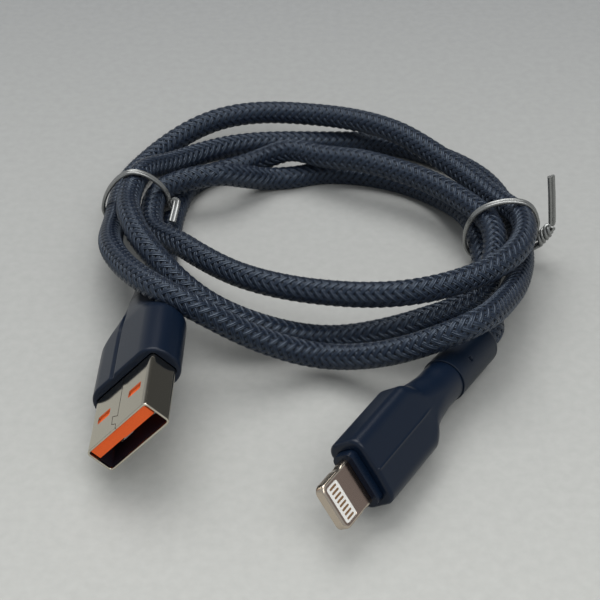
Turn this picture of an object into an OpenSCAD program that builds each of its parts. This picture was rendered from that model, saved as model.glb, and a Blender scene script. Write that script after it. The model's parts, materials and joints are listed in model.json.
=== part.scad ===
// Charging cable: a braided cord coiled three and a half times and held by two wire ties,
// with a rolled-shell charger plug at one end and a slim eight-contact phone plug at the other.
// Millimetres, +Z up, the surface it lies on at Z = 0, the plugs towards -Y.

/* [Cord] */
// Outside diameter of the braided cord
cord_d = 3.8; // [3.2:0.1:3.9]
// Diameter of one insulated wire inside the cord
wire_d = 0.8; // [0.6:0.05:0.9]

/* [Charger plug] */
// Width of the rolled metal shell
shell_w = 12; // [11.6:0.1:12.4]
// Thickness of the rolled metal shell
shell_h = 4.5; // [4.3:0.1:4.8]
// Sheet thickness of the shell
shell_t = 0.3; // [0.2:0.05:0.4]
// Outer corner radius of the shell
shell_r = 0.7; // [0.5:0.1:0.9]
// Length of the shell in front of the housing
shell_out = 10.9; // [10:0.1:12]
// Length of the shell held inside the housing
shell_in = 6; // [5:0.1:6.4]
// Width of the seam where the rolled sheet meets itself
seam_gap = 0.14; // [0.08:0.02:0.2]
// Depth of the dovetail key in the seam
seam_key = 0.9; // [0.6:0.1:1.2]
// Width of one latch window in the shell
window_w = 2; // [1.6:0.1:2.4]
// Length of one latch window in the shell
window_l = 2.5; // [2:0.1:2.8]
// Distance of a latch window from the middle
window_x = 3.1; // [2.8:0.1:3.4]
// Distance of the middle of a latch window from the tip
window_z = 5.2; // [4.8:0.1:5.8]
// Thickness of the tongue in the mouth
tongue_t = 1.65; // [1.5:0.05:1.8]
// Setback of the tongue from the tip
tongue_back = 0.25; // [0.1:0.05:0.6]
// Width of one charger contact
contact_w = 1; // [0.8:0.05:1.2]
// Thickness of one charger contact
contact_t = 0.25; // [0.2:0.05:0.3]
// Distance of a power contact from the middle
power_x = 3.5; // [3.3:0.05:3.7]
// Distance of a data contact from the middle
data_x = 1; // [0.9:0.05:1.2]
// Setback of the power contacts' front ends from the tip
power_front = 1.2; // [1:0.1:1.5]
// Setback of the data contacts' front ends from the tip
data_front = 2.2; // [2:0.1:2.6]

/* [Charger housing] */
// Width of the moulded housing
housing_w = 14.5; // [14.2:0.1:15]
// Thickness of the moulded housing
housing_h = 6.9; // [6.8:0.1:7.4]
// Corner radius of the moulded housing
housing_r = 3.1; // [2.4:0.1:3.3]
// Length of the housing up to its shoulder
housing_l = 10.4; // [10:0.2:11.4]
// Width of the flute along the housing
flute_w = 0.7; // [0.4:0.1:1]
// Depth of the flute along the housing
flute_h = 0.3; // [0.2:0.05:0.5]
// Front diameter of the charger strain relief
relief_d = 6.5; // [6.2:0.1:6.8]
// Rear diameter of the charger strain relief
relief_end = 5.4; // [5:0.1:5.8]
// Length of the charger strain relief
relief_l = 9; // [8:0.5:10]

/* [Phone plug] */
// Width of the metal tab
tab_w = 6.7; // [6.5:0.1:6.9]
// Thickness of the metal tab
tab_t = 1.5; // [1.4:0.05:1.6]
// Plan radius of the tab's two front corners
tab_r = 1.1; // [0.8:0.1:1.4]
// Length of the tab in front of its collar
tab_out = 6.6; // [6.4:0.1:7]
// Width of the window for the contacts
insert_w = 5.32; // [5.1:0.02:5.4]
// Length of the window for the contacts
insert_l = 2.45; // [2.3:0.05:2.6]
// Distance of that window from the tip
insert_z = 0.75; // [0.6:0.05:0.9]
// Number of contacts on each face
bars = 8; // [6:1:8]
// Spacing of the contacts
bar_pitch = 0.63; // [0.58:0.01:0.64]
// Width of one contact
bar_w = 0.38; // [0.3:0.02:0.42]
// Thickness of the board
board_t = 0.7; // [0.6:0.05:0.75]

/* [Phone housing] */
// Width of the collar round the tab
collar_w = 7.9; // [7.6:0.1:8.4]
// Thickness of the collar round the tab
collar_h = 3.3; // [3:0.1:3.8]
// Length of the collar in front of the housing
collar_l = 1.3; // [1:0.1:1.6]
// Width of the phone housing
body_w = 10.2; // [9.9:0.1:10.6]
// Thickness of the phone housing
body_h = 5.8; // [5.6:0.1:6.2]
// Corner radius of the phone housing
body_r = 1.7; // [1.3:0.1:1.9]
// Length of the phone housing up to its shoulder
body_l = 12.8; // [12.2:0.1:13.4]
// Diameter of the housing's end behind the shoulder
waist_d = 6.1; // [5.9:0.1:6.3]
// Diameter of the phone strain relief
neck_d = 6.5; // [6.2:0.1:6.8]
// Length of the phone strain relief
neck_l = 12.4; // [11:0.2:13]
// Diameter of the two locating holes that the mould leaves in each strain relief
pin_d = 0.8; // [0.6:0.1:1.1]
// Depth of those holes
pin_deep = 0.5; // [0.3:0.1:0.6]

/* [Ties] */
// Thickness of one wire of the twin tie ribbon
tie_wire = 0.6; // [0.5:0.05:0.65]
// Gap between a tie and the cords that it holds
tie_slack = 0.05; // [0.02:0.01:0.2]
// Height of the upright tail
tail_l = 10.2; // [8:0.2:11]

/* [Fit] */
// Clearance between pieces that seat in one another
fit = 0.04; // [0.02:0.01:0.06]

/* [Hidden] */
$fn = 48;
// the middle of the standing box, so that it comes to X = 0, Y = 0
middle = [0.516, 1.077, 0];

// ---- where the two plugs lie: tip, heading, slope, roll and the bend behind the housing
charger_tip = [-26.8, -38.6, 9.1];
charger_yaw = 1;
charger_slope = -4;
charger_roll = 46.5;
charger_bend = 10;
charger_pivot = 24;
phone_tip = [-0.65, -49.84, 7.08];
phone_yaw = 31;
phone_slope = -3;
phone_roll = -51.5;
phone_bend = 4;
phone_pivot = 24.7;

// ---- the hand-laid coil: centre, then [clock angle, radius, height] as the cord winds on;
// the angle starts at the left side and runs round the back, so 90 is the back, 270 the front
ring = [-1.3, 16.7];
lay = [
    // first turn, from the charger lead
    [0, 23.8, 1.5], [18, 24.4, 1.5], [30, 25.3, 1.5], [60, 22.2, 2.2], [75, 18.9, 5.3],
    [90, 16, 5.8], [120, 14.5, 7], [150, 17.2, 7], [180, 23.1, 7.6], [192, 26.8, 7.9],
    [210, 30, 7.2], [225, 32, 6.3], [240, 30.3, 5.2], [270, 26.4, 1.9], [300, 29.6, 6.5],
    [330, 30.2, 10.5], [345, 30, 10.2], [360, 30, 8.4],
    // second turn
    [375, 29.7, 8], [390, 28.8, 5.2], [420, 28, 2.4], [450, 26.6, 1.5], [480, 29, 1.5],
    [510, 30.8, 2], [540, 31, 3], [570, 34.4, 6.5], [585, 37.4, 9], [600, 40.8, 11.5],
    [615, 36.8, 6.8], [630, 32.6, 3.7], [645, 34, 7], [660, 36.6, 12.1], [690, 34.8, 9.8], [720, 32.4, 4.2],
    // third turn
    [750, 34.9, 2], [780, 33.9, 4.5], [810, 28.9, 5.6], [840, 25.1, 7], [870, 24.9, 6.5],
    [900, 28.8, 7.5], [912, 31.7, 9.3], [930, 33.6, 11], [960, 31.2, 11.5], [990, 24.6, 9], [1020, 23.2, 8.5],
    [1050, 24, 8], [1080, 26.7, 4.7],
    // last half turn, to the phone lead
    [1095, 26, 5.5], [1110, 19.5, 6.2], [1125, 17.4, 4.1], [1140, 17, 2],
    [1155, 16.4, 1.5], [1170, 17, 1.5], [1200, 18.6, 1.5], [1230, 21.6, 1.7], [1260, 24.6, 3.4],
    [1275, 26.2, 3.2], [1290, 29.2, 2.4]
];
// hand-chosen points of the two leads between their plug and the coil
charger_lead_points = [[-25.9, 6, 2.1]];
phone_lead_points = [[23.9, -7.2, 2.5]];
// rings of the coil's tube in one turn, and its sides
coil_rings = 24;
coil_sides = 6;
lead_sides = 8;

// ---- ties: middle of the bundle, its greatest half width, the foot and the top of the twist
tie_right = [26.7, 11.4, 5.9];
tie_left = [-30.5, 20.8, 5.6];
bundle = 5;
twist_right = [[32.9, 11.4, 4], [34.4, 11.4, 6.2]];
twist_left = [[-24.5, 20.8, 5.4], [-23.2, 20.5, 6.3]];

// ---- lengths along the charger plug, from its tip
shell_l = shell_out + shell_in;
front_z = shell_out;
shoulder_z = front_z + housing_l - 1;
block_z = 9.2;
tongue_top = -shell_h / 2 + shell_t + fit + tongue_t;
tail_z = shell_l + 1.7;
mould_l = 4.5;
mould_z = shell_l + mould_l;
mould_end = charger_pivot + 0.4;
mould_h = 5.4;
mould_w = 7.4;
// ---- lengths along the phone plug, from its tip
collar_z = tab_out;
body_z = collar_z + collar_l;
body_shoulder = body_z + body_l;
flange_z = body_z + 0.4;
flange_l = 1.2;
board_z = insert_z + insert_l + fit;
board_l = 12.8;
board_w = insert_w - 2 * fit;
can_z = flange_z + flange_l + 0.2;
can_l = 7;
can_w = 6.4;
can_h = 3;
flange_w = 7.4;
flange_h = 2.2;
mould_b = 13.3;
// the inner mould: its broad front part and the part that runs back to the crimp
core_w = 8.4;
core_h = 4.4;
root_w = 5.2;
root_h = 4.4;

// ================= shared shapes =================
function unit(v) = v / norm(v);
function across(t) = unit(cross(t, [0, 0, 1]));
function aloft(t) = cross(across(t), t);
function disc(p, t, r, n) =
    [for (k = [0:n - 1]) let (a = 360 * (k + 0.5) / n) p + r * (cos(a) * across(t) + sin(a) * aloft(t))];
function heading(p, i) = unit(p[min(i + 1, len(p) - 1)] - p[max(i - 1, 0)]);
// faces between equal rings of points, each ring anticlockwise as seen from the far end
function skin(m, n) = concat(
    [for (k = [1:n - 2]) [0, k, k + 1]],
    [for (k = [1:n - 2]) [(m - 1) * n, (m - 1) * n + k + 1, (m - 1) * n + k]],
    [for (i = [0:m - 2], k = [0:n - 1]) [i * n + k, (i + 1) * n + k, (i + 1) * n + (k + 1) % n]],
    [for (i = [0:m - 2], k = [0:n - 1]) [i * n + k, (i + 1) * n + (k + 1) % n, i * n + (k + 1) % n]]);
module loft(rings) {
    polyhedron([for (q = rings) each q], skin(len(rings), len(rings[0])));
}
// a tube through points p; its discs run clockwise as seen from the far end, hence the reversal
module tube(p, d, n) {
    loft([for (i = [0:len(p) - 1]) let (q = disc(p[i], heading(p, i), d / 2, n)) [for (k = [n - 1:-1:0]) q[k]]]);
}
// rounded rectangle as a ring of points at height z, half sizes a and b, moved by c
function round_ring(z, a, b, r, c = [0, 0], k = 6) =
    [for (q = [0:3], j = [0:k])
        let (t = 90 * q + 90 * j / k, sx = (q == 0 || q == 3) ? 1 : -1, sy = q < 2 ? 1 : -1)
            [c[0] + sx * (a - r) + r * cos(t), c[1] + sy * (b - r) + r * sin(t), z]];
// rounded rectangle as a flat shape
module slab(w, h, r) {
    square([w - 2 * r, h], center = true);
    square([w, h - 2 * r], center = true);
    for (x = [-1, 1], y = [-1, 1]) translate([x * (w / 2 - r), y * (h / 2 - r)]) circle(r);
}
module bar(z0, z1, w, h, r) {
    translate([0, 0, z0]) linear_extrude(z1 - z0) slab(w, h, r);
}
module block(x0, x1, y0, y1, z0, z1) {
    translate([x0, y0, z0]) cube([x1 - x0, y1 - y0, z1 - z0]);
}
// straight round rod between two points
module rod(a, b, d) {
    v = b - a;
    translate(a) rotate([0, acos(v[2] / norm(v)), atan2(v[1], v[0])]) cylinder(h = norm(v), d = d);
}

// ================= placing the plugs =================
function rot_x(v, a) = [v[0], v[1] * cos(a) - v[2] * sin(a), v[1] * sin(a) + v[2] * cos(a)];
function rot_z(v, a) = [v[0] * cos(a) - v[1] * sin(a), v[0] * sin(a) + v[1] * cos(a), v[2]];
// direction of a plug's axis, from its tip backwards
function axis(yaw, slope) = rot_z(rot_x([0, 1, 0], slope), -yaw);
charger_axis = axis(charger_yaw, charger_slope);
charger_exit = axis(charger_yaw, charger_slope - charger_bend);
charger_neck = charger_tip + charger_pivot * charger_axis;
phone_axis = axis(phone_yaw, phone_slope);
phone_exit = axis(phone_yaw, phone_slope - phone_bend);
phone_neck = phone_tip + phone_pivot * phone_axis;
relief_z = 6;
neck_z = 6.4;
// the locating holes of the strain reliefs: how far along, and turned how far from level
pin_z = 4.5;
pin_turn = -50;
charger_end = charger_neck + (relief_z + relief_l) * charger_exit;
phone_end = phone_neck + (neck_z + neck_l) * phone_exit;
// sideways shift of the housing's rings behind its bend, which is downwards in the world
function droop(z, pivot, bend, roll) = max(0, z - pivot) * tan(bend) * [-sin(roll), cos(roll)];

module in_charger() {
    translate(charger_tip) rotate([0, 0, -charger_yaw]) rotate([charger_slope, 0, 0])
        rotate([0, -charger_roll, 0]) rotate([-90, 0, 0]) children();
}
module in_charger_neck() {
    translate(charger_neck) rotate([0, 0, -charger_yaw])
        rotate([charger_slope - charger_bend, 0, 0]) rotate([-90, 0, 0]) children();
}
module in_phone() {
    translate(phone_tip) rotate([0, 0, -phone_yaw]) rotate([phone_slope, 0, 0])
        rotate([0, -phone_roll, 0]) rotate([-90, 0, 0]) children();
}
module in_phone_neck() {
    translate(phone_neck) rotate([0, 0, -phone_yaw])
        rotate([phone_slope - phone_bend, 0, 0]) rotate([-90, 0, 0]) children();
}

// ================= the cord's route =================
function rate(i) =
    i == 0 ? (lay[1] - lay[0]) / (lay[1][0] - lay[0][0]) :
    i == len(lay) - 1 ? (lay[i] - lay[i - 1]) / (lay[i][0] - lay[i - 1][0]) :
    let (g = lay[i][0] - lay[i - 1][0], h = lay[i + 1][0] - lay[i][0])
        ((lay[i] - lay[i - 1]) / g * h + (lay[i + 1] - lay[i]) / h * g) / (g + h);
function stage(a, i = 0) = (i >= len(lay) - 2 || a < lay[i + 1][0]) ? i : stage(a, i + 1);
function laid(a) =
    let (i = stage(a), h = lay[i + 1][0] - lay[i][0], t = (a - lay[i][0]) / h)
        (2 * t * t * t - 3 * t * t + 1) * lay[i] + (t * t * t - 2 * t * t + t) * h * rate(i)
        + (3 * t * t - 2 * t * t * t) * lay[i + 1] + (t * t * t - t * t) * h * rate(i + 1);
function on_coil(a) = let (s = laid(a)) [ring[0] - s[1] * cos(a), ring[1] + s[1] * sin(a), s[2]];
coil_turn = [for (a = [lay[0][0]:360 / coil_rings:lay[len(lay) - 1][0]]) on_coil(a)];
last = len(coil_turn) - 1;
// one straight diameter at each end of the coil
coil_in = coil_turn[0] + cord_d * unit(coil_turn[0] - coil_turn[1]);
coil_out = coil_turn[last] + cord_d * unit(coil_turn[last] - coil_turn[last - 1]);
coil_path = concat([coil_in], coil_turn, [coil_out]);
coil_in_dir = unit(coil_turn[0] - coil_turn[1]);
coil_out_dir = unit(coil_turn[last] - coil_turn[last - 1]);
charger_lead_path = concat([charger_end, charger_end + cord_d * charger_exit],
    charger_lead_points, [coil_in + cord_d * coil_in_dir, coil_in]);
phone_lead_path = concat([phone_end, phone_end + cord_d * phone_exit],
    phone_lead_points, [coil_out + cord_d * coil_out_dir, coil_out]);

// least gap of the coil to itself, measured between points more than half a turn apart
skip = coil_rings / 2 + 1;
least = min([for (i = [0:len(coil_path) - 1 - skip], j = [i + skip:len(coil_path) - 1])
    norm(coil_path[i] - coil_path[j])]) - cord_d;
run = concat(charger_lead_path, coil_path, [for (k = [len(phone_lead_path) - 1:-1:0]) phone_lead_path[k]]);
function measure(p, i = 0) = i >= len(p) - 1 ? 0 : norm(p[i + 1] - p[i]) + measure(p, i + 1);
echo(least_gap_of_coil = least, turns = (lay[len(lay) - 1][0] - lay[0][0]) / 360,
     free_cord = measure(run));

// everything below the surface is cut away, well beyond the coil
reach = 2 * max([for (s = lay) s[1]]);
module resting() {
    difference() {
        children();
        translate([-reach, -reach, -reach]) cube([2 * reach, 2 * reach, reach]);
    }
}

// ================= charger plug =================
// the sheet's joint line: straight, with one dovetail key
module seam_line() {
    k = seam_key;
    p = [[0, -1], [0, 3.4], [-0.5, 3.4 - 0.3], [-0.5 - k * 0.2, 3.4 + k + 0.3], [0, 3.4 + k],
         [0, shell_l + 1]];
    for (i = [0:len(p) - 2]) {
        d = p[i + 1] - p[i];
        translate(p[i]) rotate(atan2(d[1], d[0])) translate([-seam_gap / 2, -seam_gap / 2])
            square([norm(d) + seam_gap, seam_gap]);
    }
}
module charger_shell() {
    color("silver") in_charger() difference() {
        bar(0, shell_l, shell_w, shell_h, shell_r);
        bar(-1, shell_l + 1, shell_w - 2 * shell_t, shell_h - 2 * shell_t, shell_r - shell_t);
        // two latch windows in each broad face
        for (x = [-1, 1]) block(x * window_x - window_w / 2, x * window_x + window_w / 2,
            -shell_h, shell_h, window_z - window_l / 2, window_z + window_l / 2);
        // rolled seam in the face that backs the tongue
        translate([0, -shell_h / 2 + shell_t * 1.5, 0]) rotate([90, 0, 0])
            linear_extrude(shell_t * 2) seam_line();
    }
}
// passages for the four contacts through the rear block
module contact_strip(x, z0, z1, g = 0) {
    block(x - contact_w / 2 - g, x + contact_w / 2 + g, tongue_top - g, tongue_top + contact_t + g, z0, z1);
}
module charger_insulator() {
    w = shell_w - 2 * shell_t - 2 * fit;
    h = shell_h / 2 - shell_t - fit;
    color("orangered") in_charger() difference() {
        union() {
            block(-w / 2 + 0.3, w / 2 - 0.3, -h, tongue_top, tongue_back, block_z);
            // small locating step at the middle of the tongue's front
            block(-0.4, w / 2 - 0.3, tongue_top - 0.4, tongue_top + 0.12, tongue_back, tongue_back + 0.5);
            bar(block_z, shell_l - 0.3, w, 2 * h, shell_r - shell_t);
        }
        for (x = [-power_x, power_x]) contact_strip(x, block_z - 0.01, shell_l, fit);
        for (x = [-data_x, data_x]) contact_strip(x, block_z - 0.01, shell_l, fit);
    }
}
module charger_power_contacts() {
    color("gold") in_charger()
        for (x = [-power_x, power_x]) contact_strip(x, power_front, tail_z);
}
module charger_data_contacts() {
    color("gold") in_charger()
        for (x = [-data_x, data_x]) contact_strip(x, data_front, tail_z);
}
pad_y = tongue_top + contact_t;
module charger_pads(g = 0) {
    for (x = [-power_x, -data_x, data_x, power_x])
        block(x - 0.4 - g, x + 0.4 + g, pad_y - g, pad_y + 0.5 + g, shell_l + 0.3 - g, tail_z - 0.1 + g);
}
module charger_solder_joints() {
    color("lightgray") in_charger() charger_pads();
}
wire_starts = [-power_x, -data_x, data_x, power_x];
wire_ends = [[-0.58, 0.58], [-0.58, -0.58], [0.58, -0.58], [0.58, 0.58]];
module charger_wire(i, g = 0) {
    rod([wire_starts[i], pad_y + wire_d / 2 + 0.1, tail_z],
        [wire_ends[i][0], wire_ends[i][1], mould_end + 0.1], wire_d + 2 * g);
}
module charger_wire_red() { color("red") in_charger() charger_wire(0); }
module charger_wire_white() { color("white") in_charger() charger_wire(1); }
module charger_wire_green() { color("green") in_charger() charger_wire(2); }
module charger_wire_black() { color("black") in_charger() charger_wire(3); }
module charger_core(g = 0) {
    bar(shell_l, mould_z, shell_w - 0.2 + 2 * g, mould_h + 2 * g, 1.2);
    bar(mould_z, mould_end, mould_w + 2 * g, mould_h - 0.4 + 2 * g, 1.2);
}
module charger_inner_mould() {
    color("ivory") in_charger() difference() {
        charger_core();
        for (x = wire_starts) contact_strip(x, shell_l - 1, tail_z, fit);
        charger_pads(fit);
        for (i = [0:3]) charger_wire(i, fit);
    }
}
module charger_crimp() {
    color("silver") in_charger_neck() difference() {
        translate([0, 0, 1.2]) cylinder(h = 2.6, d = cord_d + 2 * fit + 0.5);
        translate([0, 0, 1]) cylinder(h = 3, d = cord_d + 2 * fit);
    }
}
module charger_cord_end() {
    color("#14161c") in_charger_neck() translate([0, 0, 0.9]) cylinder(h = relief_z + relief_l - 0.9, d = cord_d);
}
module charger_housing() {
    a = housing_w / 2;
    b = housing_h / 2;
    r = housing_r;
    s = shoulder_z;
    n = relief_d / 2;
    function at(z, a, b, r) =
        round_ring(z, a, b, min(r, a, b), droop(z, charger_pivot, charger_bend, charger_roll));
    color("#17181c") difference() {
        in_charger() difference() {
            loft([at(front_z, a - 0.6, b - 0.6, r - 0.4), at(front_z + 0.2, a - 0.25, b - 0.25, r - 0.2),
                  at(front_z + 0.6, a, b, r), at(s, a - 0.1, b, r), at(s + 1.5, a - 0.7, b, r + 0.2),
                  at(s + 3, a - 2.1, b - 0.05, b), at(s + 4.5, n + 0.9, n + 0.1, n - 0.1),
                  at(s + 6, n + 0.4, n + 0.05, n), at(s + 8, n + 0.1, n, n), at(s + 12, n, n, n)]);
            // seat of the shell and of the inner mould
            bar(0, shell_l, shell_w + 2 * fit, shell_h + 2 * fit, shell_r + fit);
            charger_core(fit);
            // shallow flute along the upper face
            translate([-1.2, -b, (front_z + s) / 2 + 1]) cube([flute_w, 2 * flute_h, s - front_z + 4], center = true);
        }
        in_charger_neck() {
            translate([0, 0, 0.2]) cylinder(h = 3.8, d = cord_d + 4 * fit + 0.5);
            cylinder(h = 30, d = cord_d + 2 * fit);
            translate([-10, -10, relief_z]) cube([20, 20, 20]);
        }
    }
}
// strain relief: a tapered sleeve with a rounded end and a blind hole on either side
module sleeve(d0, d1, l, bore) {
    a = bore / 2;
    r = d1 / 2;
    lip = min(0.7, r - a - 0.1);
    difference() {
        rotate_extrude()
            polygon([[a, 0], [d0 / 2, 0], [r, l - lip], [r - lip * 0.3, l - lip * 0.3], [r - lip, l], [a, l]]);
        for (s = [-1, 1]) rotate(pin_turn) translate([s * (d0 + d1) / 4, 0, pin_z]) rotate([0, 90, 0])
            cylinder(h = 2 * pin_deep, d = pin_d, center = true);
    }
}
module charger_strain_relief() {
    color("#15161a") in_charger_neck() translate([0, 0, relief_z])
        sleeve(relief_d, relief_end, relief_l, cord_d + 2 * fit);
}

// ================= cord =================
module charger_lead() {
    color("#1a1d26") resting() tube(charger_lead_path, cord_d, lead_sides);
}
module cord_coil() {
    color("#1a1d26") resting() tube(coil_path, cord_d, coil_sides);
}
module phone_lead() {
    color("#1a1d26") resting() tube(phone_lead_path, cord_d, lead_sides);
}

// ================= phone plug =================
module tab_outline(w, l, r) {
    translate([-w / 2, r]) square([w, l - r]);
    translate([-w / 2 + r, 0]) square([w - 2 * r, l]);
    for (x = [-1, 1]) translate([x * (w / 2 - r), r]) circle(r);
}
module phone_tab() {
    l = flange_z + flange_l;
    color("#c9c4bd") in_phone() difference() {
        union() {
            intersection() {
                translate([0, tab_t, 0]) rotate([90, 0, 0]) linear_extrude(2 * tab_t) tab_outline(tab_w, l, tab_r);
                bar(-1, l + 1, tab_w, tab_t, tab_t / 2 - 0.05);
            }
            bar(flange_z, l, flange_w, flange_h, 0.4);
        }
        // window for the contacts and channel for the board behind it
        block(-insert_w / 2, insert_w / 2, -tab_t, tab_t, insert_z, insert_z + insert_l);
        block(-insert_w / 2, insert_w / 2, -board_t / 2 - fit, board_t / 2 + fit, insert_z, l + 1);
        // latch notches in the two edges
        for (x = [-1, 1]) translate([x * (tab_w / 2 + 0.25), 0, 4.6]) rotate([90, 0, 0])
            cylinder(h = 4, r = 0.6, center = true);
    }
}
module phone_contact_carrier() {
    h = tab_t / 2 - 0.03;
    color("white") in_phone() difference() {
        block(-insert_w / 2 + fit, insert_w / 2 - fit, -h, h, insert_z + fit, insert_z + insert_l - fit);
        for (s = [-1, 1]) contact_bars(s, fit / 2);
    }
}
// the row of contacts in one face, sunk in pockets of the carrier
module contact_bars(s, g = 0) {
    h = tab_t / 2;
    for (i = [0:bars - 1]) translate([(i - (bars - 1) / 2) * bar_pitch, s * (h - 0.03), insert_z + insert_l / 2])
        cube([bar_w + 2 * g, 0.12 + 2 * g, insert_l - 0.7 + 2 * g], center = true);
}
module phone_contacts_front() { color("goldenrod") in_phone() contact_bars(-1); }
module phone_contacts_back() { color("goldenrod") in_phone() contact_bars(1); }
module phone_board() {
    color("darkgreen") in_phone()
        block(-board_w / 2, board_w / 2, -board_t / 2, board_t / 2, board_z, board_z + board_l);
}
module phone_chip() {
    color("#202020") in_phone() block(-1.3, 1.3, -board_t / 2 - 0.8, -board_t / 2, can_z + 0.8, can_z + 3.4);
}
module phone_capacitors() {
    color("tan") in_phone() for (x = [-1, 1])
        block(x - 0.3, x + 0.3, -board_t / 2 - 0.5, -board_t / 2, can_z + 4, can_z + 5);
}
module phone_shield_can() {
    t = 0.2;
    color("silver") in_phone() difference() {
        bar(can_z, can_z + can_l, can_w, can_h, 0.4);
        bar(can_z + t, can_z + can_l + 1, can_w - 2 * t, can_h - 2 * t, 0.2);
        block(-board_w / 2 - fit, board_w / 2 + fit, -board_t / 2 - fit, board_t / 2 + fit, can_z - 1, can_z + 1);
    }
}
board_end = board_z + board_l;
phone_starts = [-1.8, -0.62, 0.62, 1.8];
// the four wires lie flat, side by side, as they enter the cord
phone_ends = [for (i = [0:3]) (i - 1.5) * (wire_d + 0.14)];
module phone_pads(g = 0) {
    for (x = phone_starts) block(x - 0.35 - g, x + 0.35 + g, board_t / 2, board_t / 2 + 0.45 + g,
        board_end - 1.4 - g, board_end - 0.2 + g);
}
module phone_solder_joints() { color("lightgray") in_phone() phone_pads(); }
phone_core_end = phone_pivot + 0.2;
module phone_wire(i, g = 0) {
    rod([phone_starts[i], board_t / 2 + wire_d / 2 + 0.08, board_end - 0.18],
        [phone_ends[i], 0, phone_core_end + 0.1], wire_d + 2 * g);
}
module phone_wire_red() { color("red") in_phone() phone_wire(0); }
module phone_wire_white() { color("white") in_phone() phone_wire(1); }
module phone_wire_green() { color("green") in_phone() phone_wire(2); }
module phone_wire_black() { color("black") in_phone() phone_wire(3); }
module phone_core(g = 0) {
    bar(body_z + 0.2, body_z + mould_b, core_w + 2 * g, core_h + 2 * g, 1.1);
    bar(body_z + mould_b, phone_core_end, root_w + 2 * g, root_h + 2 * g, 1.1);
}
module phone_inner_mould() {
    color("#1b1c20") in_phone() {
        // collar round the root of the tab
        difference() {
            bar(collar_z, flange_z, collar_w, collar_h, 0.9);
            bar(collar_z - 1, flange_z + 1, tab_w + 2 * fit, tab_t + 2 * fit, tab_t / 2 - 0.05 + fit);
        }
        // block behind it with pockets for the flange, the board, the can and the wires
        difference() {
            phone_core();
            block(-flange_w / 2 - fit, flange_w / 2 + fit, -flange_h / 2 - fit, flange_h / 2 + fit,
                body_z - 1, flange_z + flange_l + fit);
            block(-board_w / 2 - fit, board_w / 2 + fit, -board_t / 2 - fit, board_t / 2 + fit,
                flange_z + 0.5, can_z + 1);
            block(-can_w / 2 - fit, can_w / 2 + fit, -can_h / 2 - fit, can_h / 2 + fit,
                can_z - fit, can_z + can_l + fit);
            for (i = [0:3]) phone_wire(i, fit);
        }
    }
}
module phone_crimp() {
    color("silver") in_phone_neck() difference() {
        translate([0, 0, 1]) cylinder(h = 2.6, d = cord_d + 2 * fit + 0.5);
        translate([0, 0, 0.8]) cylinder(h = 3, d = cord_d + 2 * fit);
    }
}
module phone_cord_end() {
    color("#14161c") in_phone_neck() translate([0, 0, 0.6]) cylinder(h = neck_z + neck_l - 0.6, d = cord_d);
}
module phone_housing() {
    a = body_w / 2;
    b = body_h / 2;
    r = body_r;
    s = body_shoulder;
    n = waist_d / 2;
    function at(z, a, b, r) =
        round_ring(z, a, b, min(r, a, b), droop(z, phone_pivot, phone_bend, phone_roll));
    color("#17181c") difference() {
        in_phone() difference() {
            loft([at(body_z, a - 0.7, b - 0.65, r - 0.5), at(body_z + 0.25, a - 0.3, b - 0.28, r - 0.2),
                  at(body_z + 0.9, a, b, r), at(s, a, b, r), at(s + 1.2, a - 0.35, b, r + 0.3),
                  at(s + 2.6, a - 1.2, b + 0.02, r + 0.9), at(s + 4, n + 0.9, n, n - 0.1),
                  at(s + 5.5, n + 0.3, n, n), at(s + 8, n + 0.05, n, n), at(s + 13, n, n, n)]);
            phone_core(fit);
            bar(collar_z, flange_z, collar_w + 2 * fit, collar_h + 2 * fit, 0.9);
        }
        in_phone_neck() {
            translate([0, 0, 0.1]) cylinder(h = 3.7, d = cord_d + 4 * fit + 0.5);
            cylinder(h = 30, d = cord_d + 2 * fit);
            translate([-10, -10, neck_z]) cube([20, 20, 20]);
        }
    }
}
module phone_strain_relief() {
    color("#15161a") in_phone_neck() translate([0, 0, neck_z])
        sleeve(neck_d, neck_d - 0.4, neck_l, cord_d + 2 * fit);
}

// ================= wire ties =================
// section of the twin-wire ribbon at p: half width w along the side nearest to v, thickness d
function ribbon(p, t, v, w, d) =
    let (x = unit(v - (v * t) * t), y = cross(t, x), h = d / 2, g = w - h,
         q = [[w, 0], [g + 0.7 * h, 0.75 * h], [g, h], [0, 0.5 * h], [-g, h], [-g - 0.7 * h, 0.75 * h],
              [-w, 0], [-g - 0.7 * h, -0.75 * h], [-g, -h], [0, -0.5 * h], [g, -h], [g + 0.7 * h, -0.75 * h]])
        [for (c = q) p + c[0] * x + c[1] * y];
// where the coil passes through the upright plane of a tie round c
function strands(c) = [for (i = [0:len(coil_path) - 2])
    let (p = coil_path[i], q = coil_path[i + 1], t = (c[1] - p[1]) / (q[1] - p[1]), s = p + (q - p) * t)
        if (t >= 0 && t < 1 && abs(s[0] - c[0]) < bundle) s];
// point of a band stretched round the strands s, in the direction n
function taut(s, n, m) = let (e = [for (p = s) p * n]) s[search(max(e), e)[0]] + m * n;
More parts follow.
